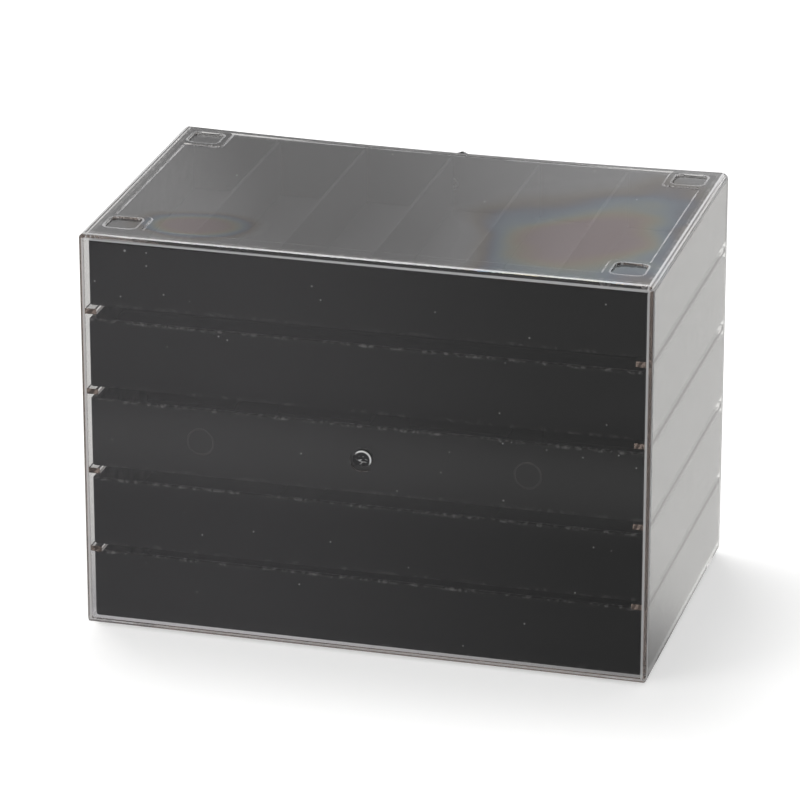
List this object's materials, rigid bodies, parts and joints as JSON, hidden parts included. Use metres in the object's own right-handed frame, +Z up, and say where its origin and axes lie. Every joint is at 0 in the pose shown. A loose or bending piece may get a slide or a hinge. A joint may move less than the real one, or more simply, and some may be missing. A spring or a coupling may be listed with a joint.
{
  "type": "jewelry organizer",
  "caption": "Clear moulded case, open at the front, with black sliding drawers on side rails, faceted clear knobs, velour linings, dividers and a pad of ring rolls, for storing jewelry.",
  "frame": {"origin": "middle of the part's box in plan, on the surface that the feet stand on", "axes": "+X across the width, -Y the way the drawers open, +Z up; the back of the case faces +Y"},
  "size_m": [0.25, 0.1742, 0.181],
  "materials": {
    "clear_case": "polished clear moulded plastic",
    "black_drawer": "satin black moulded plastic with dust and scuffed edges",
    "clear_knob": "polished clear plastic, faceted",
    "screw_steel": "plated",
    "velour_lining": "short-pile black velour",
    "black_divider": "black plastic, flocked",
    "ring_velour": "black velour over foam"
  },
  "bodies": {
    "case": {"case": "clear_case"},
    "drawer_1": {"drawer_1": "black_drawer", "knob_1": "clear_knob", "knob_screw_1": "screw_steel", "lining_mat_1": "velour_lining", "cross_dividers_1": "black_divider"},
    "drawer_2": {"drawer_2": "black_drawer", "knob_2": "clear_knob", "knob_screw_2": "screw_steel", "lining_mat_2": "velour_lining", "ring_rolls_2": "ring_velour"},
    "drawer_3": {"drawer_3": "black_drawer", "knob_3": "clear_knob", "knob_screw_3": "screw_steel", "lining_mat_3": "velour_lining", "long_divider_3": "black_divider", "cross_dividers_3": "black_divider"},
    "drawer_4": {"drawer_4": "black_drawer", "knob_4": "clear_knob", "knob_screw_4": "screw_steel", "lining_mat_4": "velour_lining", "cross_dividers_4": "black_divider"},
    "drawer_5": {"drawer_5": "black_drawer", "knob_5": "clear_knob", "knob_screw_5": "screw_steel", "lining_mat_5": "velour_lining"}
  },
  "joints": [
    {"name": "drawer_1_slide", "type": "slide", "parent": "case", "child": "drawer_1", "axis": [0, -1, 0], "range_m": [-0.0035, 0.1115]},
    {"name": "drawer_2_slide", "type": "slide", "parent": "case", "child": "drawer_2", "axis": [0, -1, 0], "range_m": [-0.002, 0.113]},
    {"name": "drawer_3_slide", "type": "slide", "parent": "case", "child": "drawer_3", "axis": [0, -1, 0], "range_m": [-0.002, 0.113]},
    {"name": "drawer_4_slide", "type": "slide", "parent": "case", "child": "drawer_4", "axis": [0, -1, 0], "range_m": [-0.002, 0.113]},
    {"name": "drawer_5_slide", "type": "slide", "parent": "case", "child": "drawer_5", "axis": [0, -1, 0], "range_m": [-0.002, 0.113]}
  ]
}
